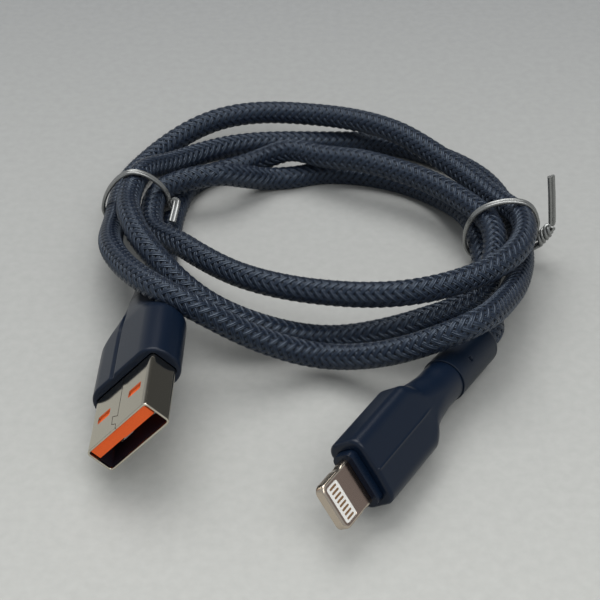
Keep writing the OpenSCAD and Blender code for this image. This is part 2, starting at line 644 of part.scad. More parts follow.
// the ribbon goes round the cords, its two ends twist round each other from a to b,
// then one end runs on through the tail points while the other is cut off
module wire_tie(c, a, b, turns, tail_points) {
    d = tie_wire;
    m = (cord_d + d) / 2 + tie_slack;
    held = strands(c);
    u = unit(b - a);
    e = across(u);
    f = cross(e, u);
    open = 28;
    mid = atan2(a[2] - c[2], a[0] - c[0]);
    n = 40;
    arc = [for (i = [0:n]) let (g = mid + open + (360 - 2 * open) * i / n) taut(held, [cos(g), 0, sin(g)], m)];
    k = ceil(14 * turns);
    function strand(i, g) = let (h = g + 360 * turns * i / k)
        a + (b - a) * i / k + 0.48 * (cos(h) * e + sin(h) * f);
    first = [for (i = [k:-1:0]) strand(i, 90)];
    second = [for (i = [0:k]) strand(i, -90)];
    path = concat([for (i = [len(tail_points) - 1:-1:0]) tail_points[i]], first, arc, second);
    tl = len(tail_points);
    al = tl + len(first);
    loft([for (i = [0:len(path) - 1])
        let (t = heading(path, i), on_tail = i < tl - 1, on_arc = i > al && i < al + n)
            ribbon(path[i], t, on_tail ? [1, 0.3, 0] : [0, 1, 0], on_tail || on_arc ? d : d * 0.7, d)]);
}
module right_tie() {
    top = twist_right[1] + [0.25, 0, 0.9];
    color("gainsboro") wire_tie(tie_right, twist_right[0], twist_right[1], 1.5,
        [top, top + [0, 0, 0.8], top + [0, 0, tail_l / 2], top + [0, 0, tail_l - 1]]);
}
module left_tie() {
    top = twist_left[1] + [0.5, -0.7, 0.1];
    color("gainsboro") wire_tie(tie_left, twist_left[0], twist_left[1], 1,
        [top, top + [0.1, -0.9, -0.2], top + [0.1, -3.6, -1]]);
}

module place() { translate(middle) children(); }

place() charger_shell();
place() charger_insulator();
place() charger_power_contacts();
place() charger_data_contacts();
place() charger_solder_joints();
place() charger_wire_red();
place() charger_wire_white();
place() charger_wire_green();
place() charger_wire_black();
place() charger_inner_mould();
place() charger_crimp();
place() charger_cord_end();
place() charger_housing();
place() charger_strain_relief();
place() charger_lead();
place() cord_coil();
place() phone_lead();
place() phone_tab();
place() phone_contact_carrier();
place() phone_contacts_front();
place() phone_contacts_back();
place() phone_board();
place() phone_chip();
place() phone_capacitors();
place() phone_shield_can();
place() phone_solder_joints();
place() phone_wire_red();
place() phone_wire_white();
place() phone_wire_green();
place() phone_wire_black();
place() phone_inner_mould();
place() phone_crimp();
place() phone_cord_end();
place() phone_housing();
place() phone_strain_relief();
place() left_tie();
place() right_tie();
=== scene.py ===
import json
import math

import bmesh
import bpy
import numpy as np
from mathutils import Matrix, Vector

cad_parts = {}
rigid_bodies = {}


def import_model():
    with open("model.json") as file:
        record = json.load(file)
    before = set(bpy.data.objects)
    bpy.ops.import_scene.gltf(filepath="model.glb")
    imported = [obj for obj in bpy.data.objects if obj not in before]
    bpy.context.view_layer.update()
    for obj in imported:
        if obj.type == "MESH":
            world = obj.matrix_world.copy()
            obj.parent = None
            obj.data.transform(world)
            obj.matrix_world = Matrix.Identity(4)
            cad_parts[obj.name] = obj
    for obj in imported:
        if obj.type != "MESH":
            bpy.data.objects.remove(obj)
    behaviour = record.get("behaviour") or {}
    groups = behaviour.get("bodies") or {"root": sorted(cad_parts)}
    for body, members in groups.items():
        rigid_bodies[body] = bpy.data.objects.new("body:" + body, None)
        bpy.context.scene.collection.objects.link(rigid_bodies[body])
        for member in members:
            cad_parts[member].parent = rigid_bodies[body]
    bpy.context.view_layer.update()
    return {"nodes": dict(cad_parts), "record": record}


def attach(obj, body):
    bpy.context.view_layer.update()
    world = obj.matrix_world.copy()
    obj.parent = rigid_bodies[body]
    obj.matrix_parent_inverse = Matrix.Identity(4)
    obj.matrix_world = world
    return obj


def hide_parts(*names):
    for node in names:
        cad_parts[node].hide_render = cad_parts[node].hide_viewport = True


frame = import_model()

bl_info = {
    "name": "Braided Charging Cable",
    "version": (1, 0, 0),
    "blender": (4, 5, 0),
    "location": "3D View > Sidebar > Cable",
    "description": "Makes a coiled, braided charging cable with its two plugs and two wire ties",
    "category": "Add Mesh",
}

MM = 0.001
BODY = "root"

# ---- placing
# the middle of the standing box lies at the origin, as in the solids
MIDDLE = Vector((0.516, 1.077, 0)) * MM
# where each plug lies, in millimetres and degrees: its tip, its heading, its fall, its roll,
# and how far it bends down behind the pivot
CHARGER = {"tip": (-26.8, -38.6, 9.1), "yaw": 1, "slope": -4, "roll": 46.5, "bend": 10, "pivot": 24}
PHONE = {"tip": (-0.65, -49.84, 7.08), "yaw": 31, "slope": -3, "roll": -51.5, "bend": 4, "pivot": 24.7}

# the middle of the coil, in millimetres
RING = (-1.3, 16.7)
# the coil: clock angle, radius and height in millimetres, as the cord winds on;
# the angle starts at the left side and runs round the back, so 90 is the back, 270 the front
LAY = [
    (0, 23.8, 1.5), (18, 24.4, 1.5), (30, 25.3, 1.5), (60, 22.2, 2.2), (75, 18.9, 5.3),
    (90, 16, 5.8), (120, 14.5, 7), (150, 17.2, 7), (180, 23.1, 7.6), (192, 26.8, 7.9),
    (210, 30, 7.2), (225, 32, 6.3), (240, 30.3, 5.2), (270, 26.4, 1.9), (300, 29.6, 6.5),
    (330, 30.2, 10.5), (345, 30, 10.2), (360, 30, 8.4),
    (375, 29.7, 8), (390, 28.8, 5.2), (420, 28, 2.4), (450, 26.6, 1.5), (480, 29, 1.5),
    (510, 30.8, 2), (540, 31, 3), (570, 34.4, 6.5), (585, 37.4, 9), (600, 40.8, 11.5),
    (615, 36.8, 6.8), (630, 32.6, 3.7), (645, 34, 7), (660, 36.6, 12.1), (690, 34.8, 9.8), (720, 32.4, 4.2),
    (750, 34.9, 2), (780, 33.9, 4.5), (810, 28.9, 5.6), (840, 25.1, 7), (870, 24.9, 6.5),
    (900, 28.8, 7.5), (912, 31.7, 9.3), (930, 33.6, 11), (960, 31.2, 11.5), (990, 24.6, 9), (1020, 23.2, 8.5),
    (1050, 24, 8), (1080, 26.7, 4.7),
    (1095, 26, 5.5), (1110, 19.5, 6.2), (1125, 17.4, 4.1), (1140, 17, 2),
    (1155, 16.4, 1.5), (1170, 17, 1.5), (1200, 18.6, 1.5), (1230, 21.6, 1.7), (1260, 24.6, 3.4),
    (1275, 26.2, 3.2), (1290, 29.2, 2.4),
]
# a point on each lead, in millimetres
CHARGER_LEAD = (-25.9, 6, 2.1)
PHONE_LEAD = (23.9, -7.2, 2.5)
# how far behind its pivot each strain relief ends
CHARGER_RELIEF_END = 15
PHONE_RELIEF_END = 18.8


def linear(hex_colour):
    """An sRGB hex colour as the linear red, green, blue and alpha that Blender works in."""
    parts = [int(hex_colour[i:i + 2], 16) / 255 for i in (1, 3, 5)]
    return (*[c / 12.92 if c <= 0.04045 else ((c + 0.055) / 1.055) ** 2.4 for c in parts], 1.0)


def in_place(point):
    """A point given in millimetres, in the row frame and metres."""
    return Vector(point) * MM + MIDDLE


def turn(angle, axis):
    return Matrix.Rotation(math.radians(angle), 4, axis)


def plug_frame(plug):
    """From plug space, Z from the tip to the base and -Y the face seen, to the row frame, in metres."""
    return (Matrix.Translation(in_place(plug["tip"])) @ turn(-plug["yaw"], "Z") @ turn(plug["slope"], "X")
            @ turn(-plug["roll"], "Y") @ turn(-90, "X"))


def neck_frame(plug):
    """The same for the neck, which is bent down behind the housing and isn't rolled."""
    pivot = plug_frame(plug) @ Vector((0, 0, plug["pivot"] * MM))
    return (Matrix.Translation(pivot) @ turn(-plug["yaw"], "Z") @ turn(plug["slope"] - plug["bend"], "X")
            @ turn(-90, "X"))


def placed(plug, points):
    """Points given in plug space and millimetres, in the row frame and metres."""
    matrix = np.array(plug_frame(plug))
    return np.asarray(points, float) * MM @ matrix[:3, :3].T + matrix[:3, 3]


def bent(plug, stations, rings):
    """Rings of (x, y) points at lengths along a plug that bends softly down at its pivot."""
    roll = math.radians(plug["roll"])
    down = np.array((-math.sin(roll), math.cos(roll)))
    step = 0.05
    fine = np.arange(-5, 60, step)
    lean = math.radians(plug["bend"]) * softly(fine, plug["pivot"] - 2, plug["pivot"] + 2)
    forward = fine[0] + np.concatenate([[0], np.cumsum(np.cos(lean[:-1])) * step])
    drop = np.concatenate([[0], np.cumsum(np.sin(lean[:-1])) * step])
    f, d, a = (np.interp(stations, fine, values)[:, None] for values in (forward, drop, lean))
    off = rings @ down
    flat = rings + down * (d + off * (np.cos(a) - 1))[..., None]
    return placed(plug, np.concatenate([flat, (f - off * np.sin(a))[..., None]], axis=-1))


# ---- curves
def softly(value, low, high):
    """0 below low, 1 above high and a smooth rise between."""
    t = np.clip((value - low) / (high - low), 0, 1)
    return t * t * (3 - 2 * t)


def bridged(t, step, here, there, slope, next_slope):
    """A cubic curve between two values with their slopes, t of the way over a step."""
    return ((2 * t**3 - 3 * t**2 + 1) * here + (t**3 - 2 * t**2 + t) * step * slope
            + (3 * t**2 - 2 * t**3) * there + (t**3 - t**2) * step * next_slope)


def run_of(points):
    """How far along a line each of its points lies."""
    return np.concatenate([[0], np.cumsum(np.linalg.norm(np.diff(points, axis=0), axis=1))])


def sampled(at, run, values):
    """Values given along a line, read at other lengths along it."""
    return np.stack([np.interp(at, run, values[:, k]) for k in range(3)], axis=1)


def unit(vectors):
    """The directions of vectors, with length 1."""
    return vectors / np.linalg.norm(vectors, axis=-1, keepdims=True)


def full_turn(count):
    """Angles all the way round, at even steps."""
    return np.linspace(0, 2 * math.pi, count, endpoint=False)


def out_at(angles):
    """Unit (x, y) pairs that point at the given angles."""
    return np.stack([np.cos(angles), np.sin(angles)], axis=-1)


# ---- the cord's route
def laid(angle):
    """Radius and height of the coil at a clock angle, on a smooth curve through its stations."""
    at = np.array(LAY, float)
    rate = np.gradient(at, at[:, 0], axis=0)
    i = int(np.clip(np.searchsorted(at[:, 0], angle, side="right") - 1, 0, len(at) - 2))
    step = at[i + 1, 0] - at[i, 0]
    return bridged((angle - at[i, 0]) / step, step, at[i], at[i + 1], rate[i], rate[i + 1])[1:]


def on_coil(angle):
    radius, height = laid(angle)
    turned = math.radians(angle)
    return in_place((RING[0] - radius * math.cos(turned), RING[1] + radius * math.sin(turned), height))


def smooth_line(points, step):
    """Points a step apart along a smooth curve through the given ones."""
    p = np.array([tuple(q) for q in points])
    p = np.vstack([2 * p[0] - p[1], p, 2 * p[-1] - p[-2]])
    fine = []

    def between(u, v, start, end):
        return (end - t) / (end - start) * u + (t - start) / (end - start) * v

    for i in range(1, len(p) - 2):
        a, b, c, d = p[i - 1:i + 3]
        gaps = [max(np.linalg.norm(v - u), 1e-9) ** 0.5 for u, v in ((a, b), (b, c), (c, d))]
        ta, tb, tc, td = np.cumsum([0, *gaps])
        for t in np.linspace(tb, tc, 24, endpoint=False):
            ab, bc, cd = between(a, b, ta, tb), between(b, c, tb, tc), between(c, d, tc, td)
            fine.append(between(between(ab, bc, ta, tc), between(bc, cd, tb, td), tb, tc))
    fine = np.array([*fine, p[-2]])
    run = run_of(fine)
    return sampled(np.linspace(0, run[-1], int(round(run[-1] / step)) + 1), run, fine)


def cord_route(diameter, step=0.4 * MM):
    """The cord's centreline, from the end of one strain relief to the end of the other, in metres."""

    def out_of(plug, distance):
        return neck_frame(plug) @ Vector((0, 0, distance))

    coil = [on_coil(a) for a in np.arange(LAY[0][0], LAY[-1][0] + 0.1, 5)]
    coil_in = coil[0] + (coil[0] - coil[3]).normalized() * diameter
    coil_out = coil[-1] + (coil[-1] - coil[-4]).normalized() * diameter
    near, far = CHARGER_RELIEF_END * MM, PHONE_RELIEF_END * MM
    lead = [out_of(CHARGER, near), out_of(CHARGER, near + diameter), in_place(CHARGER_LEAD)]
    tail = [in_place(PHONE_LEAD), out_of(PHONE, far + diameter), out_of(PHONE, far)]
    return smooth_line([*lead, coil_in, *coil, coil_out, *tail], step)


# ---- meshes
def mesh_of(name, vertices, faces, outward=True):
    """A mesh, with its faces turned outwards unless they are right already."""
    mesh = bpy.data.meshes.new(name)
    mesh.from_pydata([tuple(v) for v in vertices], [], [tuple(f) for f in faces])
    mesh.validate()
    if outward:
        work = bmesh.new()
        work.from_mesh(mesh)
        bmesh.ops.recalc_face_normals(work, faces=work.faces)
        work.to_mesh(mesh)
        work.free()
    return mesh


def linked(name, data):
    """A new object in the scene."""
    made = bpy.data.objects.new(name, data)
    bpy.context.scene.collection.objects.link(made)
    return made


def new_piece(name, vertices, faces, slot, material=None, uv=None, sharp=None, replaces=()):
    """Makes a mesh piece that rides on the cable's body. Faces that carry a UV map face outwards already."""
    mesh = mesh_of(name, vertices, faces, outward=uv is None)
    if uv is not None:
        layer = mesh.uv_layers.new(name="yarn")
        layer.data.foreach_set("uv", np.asarray(uv, np.float32).ravel())
    mesh.shade_smooth()
    if sharp:
        mesh.set_sharp_from_angle(angle=math.radians(sharp))
    mesh.materials.append(material or finish(slot))
    made = linked(name, mesh)
    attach(made, BODY)
    if replaces:
        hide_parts(*replaces)
    return made


def new_rings(name, points, slot, **more):
    """Makes a piece from rings of points, each joined to the next and the last to the first."""
    return new_piece(name, points.reshape(-1, 3), grid_faces(*points.shape[:2]), slot, **more)


def paint_rows(piece, slot, count, rows):
    """Gives the faces behind some of a piece's rings, of count points each, a second material."""
    piece.data.materials.append(finish(slot))
    for row in rows:
        for face in piece.data.polygons[row * count:(row + 1) * count]:
            face.material_index = 1


def grid_faces(rows, columns, closed=True):
    """Four-sided faces between rows that are closed rings; closed joins the last row to the first."""
    return [(i % rows * columns + k, i % rows * columns + (k + 1) % columns,
             (i + 1) % rows * columns + (k + 1) % columns, (i + 1) % rows * columns + k)
            for i in range(rows if closed else rows - 1) for k in range(columns)]


# edges of a cut piece that turn by more than this stay sharp, in degrees
CUT_SHARP = 28


def cut_away(piece, *cutters):
    """Cuts closed shapes, each given as (vertices, faces), out of a piece, and keeps its flat faces flat."""
    for vertices, faces in cutters:
        tool = linked("cutter", mesh_of("cutter", vertices, faces))
        cut = piece.modifiers.new("cut", "BOOLEAN")
        cut.operation, cut.solver, cut.object = "DIFFERENCE", "EXACT", tool
        bpy.context.view_layer.update()
        ready = piece.evaluated_get(bpy.context.evaluated_depsgraph_get())
        result = bpy.data.meshes.new_from_object(ready)
        piece.modifiers.remove(cut)
        old, piece.data = piece.data, result
        result.name = piece.name
        # the cutter goes with its mesh
        for mesh in (old, tool.data):
            bpy.data.meshes.remove(mesh)
    piece.data.shade_smooth()
    piece.data.set_sharp_from_angle(angle=math.radians(CUT_SHARP))
    weighted = piece.modifiers.new("flat faces", "WEIGHTED_NORMAL")
    weighted.keep_sharp = True


def prism(outline, low, high, plug):
    """An outline of (x, z) points in plug space, drawn out along Y between low and high."""
    n = len(outline)
    ends = [[(x, y, z) for x, z in outline] for y in (low, high)]
    sides = [(k, (k + 1) % n, n + (k + 1) % n, n + k) for k in range(n)]
    return placed(plug, ends[0] + ends[1]), [tuple(range(n))[::-1], tuple(range(n, 2 * n)), *sides]


def rounded(a, b, r, turned):
    """Where rays at the given angles leave a rounded rectangle with half sizes a and b."""
    c, s = np.abs(np.cos(turned)), np.abs(np.sin(turned))
    a, b, r = (np.asarray(v, float)[..., None] for v in (a, b, r))
    r = np.minimum(r, np.minimum(a, b))
    side, top = a / np.maximum(c, 1e-9), b / np.maximum(s, 1e-9)
    x, y = a - r, b - r
    m = c * x + s * y
    corner = m + np.sqrt(np.maximum(m * m - x * x - y * y + r * r, 0))
    t = np.where(side * s <= y, side, np.where(top * c <= x, top, corner))
    return t[..., None] * out_at(turned)


def eased(keys, at):
    """Values at lengths along a plug, on curves through key rows that never overshoot them."""
    k = np.array(keys, float)
    x, step = k[:, 0], np.diff(k[:, 0])[:, None]
    rate = np.diff(k, axis=0) / step
    slope = np.zeros_like(k)
    slope[0], slope[-1] = rate[0], rate[-1]
    near, far = 2 * step[1:] + step[:-1], step[1:] + 2 * step[:-1]
    with np.errstate(divide="ignore", invalid="ignore"):
        mean = (near + far) / (near / rate[:-1] + far / rate[1:])
    slope[1:-1] = np.where(rate[:-1] * rate[1:] > 0, mean, 0)
    i = np.clip(np.searchsorted(x, at, side="right") - 1, 0, len(x) - 2)
    t = ((at - x[i]) / step[i, 0])[:, None]
    return bridged(t, step[i], k[i], k[i + 1], slope[i], slope[i + 1])[:, 1:].T


def rays(count, wide, thick):
    """Angles of rays that leave a section of that shape at about even spaces."""
    t = full_turn(count)
    return np.arctan2(thick * np.sin(t), wide * np.cos(t))


def along(points):
    """Unit directions along a line of points, and a pair of sides that turns with it but never twists."""
    ahead = unit(np.gradient(points, axis=0))
    sides = [unit(np.cross(ahead[0], (0, 0, 1.0)))]
    for way in ahead[1:]:
        sides.append(unit(sides[-1] - way * sides[-1].dot(way)))
    sides = np.array(sides)
    return ahead, sides, np.cross(ahead, sides)


def swept(points, ring, side, up):
    """Vertices and faces of a ring of (side, up) pairs swept along points, with closed ends."""
    n, m = len(points), len(ring)
    across, above = ring[None, :, :1] * side[:, None, :], ring[None, :, 1:] * up[:, None, :]
    vertices = points[:, None, :] + across + above
    faces = grid_faces(n, m, closed=False)
    faces += [tuple(range(m))[::-1], tuple((n - 1) * m + k for k in range(m))]
    return vertices.reshape(-1, 3), faces


# ---- materials
def fill(tree, node, inputs):
    """Fills a node's inputs with values or links."""
    for key, value in inputs.items():
        if isinstance(value, bpy.types.NodeSocket):
            tree.links.new(value, node.inputs[key])
        else:
            node.inputs[key].default_value = value


def put(tree, kind, inputs=(), **settings):
    """Adds a node, sets its properties and fills its inputs."""
    made = tree.nodes.new(kind)
    for name, value in settings.items():
        setattr(made, name, value)
    fill(tree, made, dict(inputs))
    return made


def finish_of(name, **sockets):
    """A new material and its tree, with constants set on the shader's own sockets."""
    made = bpy.data.materials.new(name)
    made.use_nodes = True
    tree = made.node_tree
    shader = tree.nodes["Principled BSDF"]
    for key, value in sockets.items():
        shader.inputs[key.replace("_", " ")].default_value = value
    return made, tree, shader


def mapped(tree, value, *limits, **more):
    """A value mapped from one range to another."""
    return put(tree, "ShaderNodeMapRange", enumerate((value, *limits)), **more).outputs[0]


def spread(tree, noise, low, high):
    """Spreads the middle range of a noise between two values."""
    return mapped(tree, noise, 0.3, 0.7, low, high)


def braided_nylon(look):
    """Braided nylon yarn, dyed near-black blue: each yarn is a flat bundle of shiny filaments."""
    made, tree, shader = finish_of(
        "Braided Nylon Yarn", Roughness=0.31, Specular_IOR_Level=0.62, Sheen_Weight=0.03,
        Specular_Tint=(0.72, 0.85, 1.0, 1.0))
    uv = put(tree, "ShaderNodeUVMap", uv_map="yarn").outputs[0]
    across = put(tree, "ShaderNodeSeparateXYZ", {0: uv}).outputs[0]
    turns = 2 * math.pi * look.filaments
    ridges = put(tree, "ShaderNodeMath", {0: across, 1: turns}, operation="MULTIPLY").outputs[0]
    wave = put(tree, "ShaderNodeMath", {0: ridges}, operation="COSINE").outputs[0]
    # the dye is a little uneven from filament to filament, and painted shade darkens it in bands that follow
    # the filament ridges
    grain = put(tree, "ShaderNodeTexNoise", {"Scale": 2500.0, "Detail": 2.0}).outputs[0]
    tone = spread(tree, grain, 0.0, 1.0)
    # painted shade: the yarn's tone is lowered in step with its filament ridges
    painted_ridge_shade = mapped(tree, wave, 1.0, -1.0, 0.25, 1.0)
    tone = put(tree, "ShaderNodeMath", {0: tone, 1: painted_ridge_shade}, operation="MULTIPLY").outputs[0]
    dye = {"Factor": tone, "A": tuple(look.dark), "B": tuple(look.light)}
    colour = put(tree, "ShaderNodeMix", dye, data_type="RGBA").outputs["Result"]
    bump = put(tree, "ShaderNodeBump", {"Strength": 0.6, "Distance": 0.00005, "Height": wave}).outputs[0]
    fill(tree, shader, {"Base Color": colour, "Normal": bump})
    return made


# how strongly moulded plastic reflects
PLASTIC_GLOSS = 0.28


def grained(name, colour, roughness, metallic, grain, shade, relief):
    """A material whose fine grain, in millimetres, varies its tone, its gloss and its relief."""
    made, tree, shader = finish_of(name, Metallic=metallic)
    if not metallic:
        shader.inputs["Specular IOR Level"].default_value = PLASTIC_GLOSS
    place = put(tree, "ShaderNodeTexCoord").outputs["Object"]
    scale = (1 / (grain * MM),) * 3
    place = put(tree, "ShaderNodeMapping", {"Vector": place, "Scale": scale}).outputs[0]
    noise = put(tree, "ShaderNodeTexNoise", {"Vector": place, "Scale": 1.0, "Detail": 3.0}).outputs[0]
    light = linear(colour)
    tones = {"Factor": spread(tree, noise, 0.0, 1.0), "A": (*[shade * c for c in light[:3]], 1.0), "B": light}
    mixed = put(tree, "ShaderNodeMix", tones, data_type="RGBA").outputs["Result"]
    gloss = spread(tree, noise, roughness * 1.12, roughness * 0.88)
    bump = put(tree, "ShaderNodeBump", {"Strength": 0.5, "Distance": relief * MM, "Height": noise}).outputs[0]
    fill(tree, shader, {"Base Color": mixed, "Roughness": gloss, "Normal": bump})
    return made


# slot: name, colour, roughness, metallic, grain in mm, shade of the darker grain, relief in mm
FINISHES = {
    # sheet steel rolled into a tube and nickel plated: a warm, bright silver, very faintly mottled
    "nickel_shell": ("Nickel Plated Sheet Steel", "#c9c2b2", 0.1, 1.0, 0.3, 0.93, 0.0008),
    # injection moulded, dyed through: even orange that lights up in the latch windows
    "orange_plastic": ("Orange Moulded Nylon", "#f76423", 0.42, 0.0, 0.2, 0.92, 0.006),
    # stamped copper alloy with a thin gold flash: warm and dulled by handling
    "gold_contacts": ("Gold Flashed Contacts", "#b08a66", 0.34, 1.0, 0.12, 0.85, 0.002),
    "solder": ("Tin Solder", "#b9bbbd", 0.3, 1.0, 0.3, 0.85, 0.02),
    # thin extruded insulation, dyed through
    "wire_red": ("Red Wire Insulation", "#b3241c", 0.4, 0.0, 0.3, 0.92, 0.004),
    "wire_white": ("White Wire Insulation", "#e4e2dc", 0.4, 0.0, 0.3, 0.94, 0.004),
    "wire_green": ("Green Wire Insulation", "#1f7a3a", 0.4, 0.0, 0.3, 0.92, 0.004),
    "wire_black": ("Black Wire Insulation", "#1a1a1c", 0.4, 0.0, 0.3, 0.9, 0.004),
    # low-pressure moulding round the joints: milky and waxy
    "pale_mould": ("Milky Moulded Polyethylene", "#d6d0bd", 0.5, 0.0, 0.4, 0.93, 0.01),
    "crimp_steel": ("Crimped Zinc Plated Steel", "#b4b3ae", 0.32, 1.0, 0.25, 0.85, 0.01),
    "cord_braid": ("Cord Jacket", "#10141b", 0.6, 0.0, 0.3, 0.85, 0.01),
    # moulded against a fine spark-eroded face: near-black blue with a silky sheen
    "black_housing": ("Blue-Black Moulded Polycarbonate", "#091729", 0.32, 0.0, 0.14, 0.86, 0.0015),
    # softer elastomer over the cord: the same dye, a little duller
    "black_relief": ("Blue-Black Moulded Elastomer", "#0a1727", 0.4, 0.0, 0.14, 0.86, 0.002),
    # the tab's ground and plated edge: a soft but bright reflection
    "polished_tab": ("Polished Nickel Plated Steel", "#c6b9a9", 0.2, 1.0, 0.2, 0.95, 0.0003),
    # the tab's two faces are brushed and duller than its edge; their darker, warmer colour is a painted
    # reflection of dark surroundings
    "brushed_face_painted_reflection": ("Brushed Steel With Painted Reflection", "#9c887c", 0.22, 1.0, 0.08, 0.88, 0.0006),
    # the inside of the rolled sheet isn't polished; its dark purple-grey colour is painted shade for the
    # hollow mouth
    "dull_inside_painted_shade": ("Dull Sheet Steel In Painted Shade", "#565062", 0.5, 1.0, 0.2, 0.8, 0.004),
    "carrier_plastic": ("White Moulded Nylon", "#eceae4", 0.4, 0.0, 0.2, 0.95, 0.004),
    "green_board": ("Green Solder Mask", "#1d5a35", 0.35, 0.0, 0.4, 0.88, 0.006),
    "chip_black": ("Black Epoxy Package", "#222226", 0.55, 0.0, 0.1, 0.85, 0.006),
    "capacitor_tan": ("Tan Ceramic", "#a88a64", 0.45, 0.0, 0.1, 0.88, 0.004),
    "dark_mould": ("Dark Moulded Nylon", "#091729", 0.3, 0.0, 0.14, 0.86, 0.0015),
    # clear vinyl over two bright wires: grey, with a soft gloss on each wire
    "tie_plastic": ("Clear Vinyl Over Bright Wire", "#949593", 0.25, 0.75, 0.4, 0.85, 0.002),
}


def finish(slot):
    """The material of a slot, made the first time it is asked for."""
    return bpy.data.materials.get(FINISHES[slot][0]) or grained(*FINISHES[slot])


# ---- settings
def size_setting(name, description, value):
    """A setting that is a length, with its value in millimetres."""
    return bpy.props.FloatProperty(name=name, description=description, default=value * MM, unit="LENGTH")


class CordSettings(bpy.types.PropertyGroup):
    diameter: size_setting("Diameter", "Outside diameter of the braided cord", 3.8)
    carriers: bpy.props.IntProperty(
        name="Yarns", description="Number of yarns in the braid, half of them winding each way", default=16)
    lay_length: size_setting("Lay length", "Length of cord in which a yarn goes once round it", 10.6)
    cover: bpy.props.FloatProperty(
        name="Cover", description="Share of its pitch that a yarn fills", default=0.83)
    filaments: bpy.props.IntProperty(
        name="Filament ridges", description="Ridges that show across one yarn", default=4)
    # the dark colour is the dye in painted groove shade and the light one the dye in a painted highlight; the
    # material mixes them by a random tone and by the filament ridges
    dark: bpy.props.FloatVectorProperty(
        name="Dark dye and groove shade", description="Colour of the yarn in its grooves", subtype="COLOR", size=4,
        default=linear("#03070f"))
    light: bpy.props.FloatVectorProperty(
        name="Light dye and highlight", description="Colour of the yarn where it catches light", subtype="COLOR", size=4,
        default=linear("#213049"))


class PlugSettings(bpy.types.PropertyGroup):
    shell_width: size_setting("Shell width", "Width of the rolled metal shell", 12)
    shell_height: size_setting("Shell thickness", "Thickness of the rolled metal shell", 4.5)
    sheet: size_setting("Sheet", "Thickness of the sheet that the shell is rolled from", 0.3)
    tab_width: size_setting("Tab width", "Width of the phone plug's metal tab", 6.7)
    tab_height: size_setting("Tab thickness", "Thickness of the phone plug's metal tab", 1.5)


class TieSettings(bpy.types.PropertyGroup):
    wire: size_setting("Wire", "Thickness of one wire of the twin ribbon", 0.6)
    slack: size_setting("Slack", "Gap between a tie and the cords that it holds", 0.05)


# ---- the cord
# a yarn's middle below the cord's outside, and its rise and fall as it crosses the others, in millimetres
YARN_SUNK = 0.15
YARN_LIFT = 0.07
# the larger, the longer a yarn stays up or down between two crossings
YARN_HOLD = 2.2


def yarn_set(route, cord, hand):
    """Vertices, faces and UVs of the yarns that wind one way, each a closed lens-shaped ribbon."""
    _, side, up = along(route)
    run = run_of(route)
    per_hand = cord.carriers // 2
    crossing = cord.lay_length / cord.carriers
    steps = int(run[-1] / (crossing / 2))
    at = np.linspace(0, run[-1], steps + 1)
    centre, sides, ups = (sampled(at, run, v) for v in (route, side, up))
    # across the yarn: share of its width, and height in millimetres
    lens = np.array([(-0.5, -0.04), (-0.32, 0.065), (0, 0.11), (0.32, 0.065), (0.5, -0.04)])
    vertices = []
    for yarn in range(per_hand):
        angle = 2 * math.pi * yarn / per_hand + hand * 2 * math.pi * at / cord.lay_length
        # over two yarns and under two: columns along the cord keep the same hand on top
        column = angle / (2 * math.pi) * cord.carriers
        lift = np.cos(2 * math.pi * (column / 4 - (0.125 if hand > 0 else 0.625)))
        lift = np.tanh(YARN_HOLD * lift) / math.tanh(YARN_HOLD)
        middle = cord.diameter / 2 - YARN_SUNK * MM + YARN_LIFT * MM * lift
        for c, h in lens:
            a = angle + hand * c * cord.cover * 2 * math.pi / per_hand
            radius = middle + h * MM
            x, y = (radius * np.cos(a))[:, None], (radius * np.sin(a))[:, None]
            vertices.append(centre + x * sides + y * ups)
    m, total = len(lens), steps + 1
    vertices = np.array(vertices).reshape(per_hand, m, total, 3).transpose(0, 2, 1, 3)
    # the yarns that touch the surface are pressed flat on it
    vertices[..., 2] = np.maximum(vertices[..., 2], 0.02 * MM)
    quads = np.array(grid_faces(total, m, closed=False))
    i, k = np.divmod(np.arange(len(quads)), m)
    left, right = k / (m - 1), np.minimum(k + 1, m - 1) / (m - 1)
    near, far = at[i] / MM, at[i + 1] / MM
    corners = np.stack([left, near, right, near, right, far, left, far], axis=1).reshape(-1, 4, 2)
    if hand < 0:
        quads, corners = quads[:, ::-1], corners[:, ::-1]
    faces = np.concatenate([quads + yarn * total * m for yarn in range(per_hand)])
    return vertices.reshape(-1, 3), faces.tolist(), np.tile(corners, (per_hand, 1, 1))


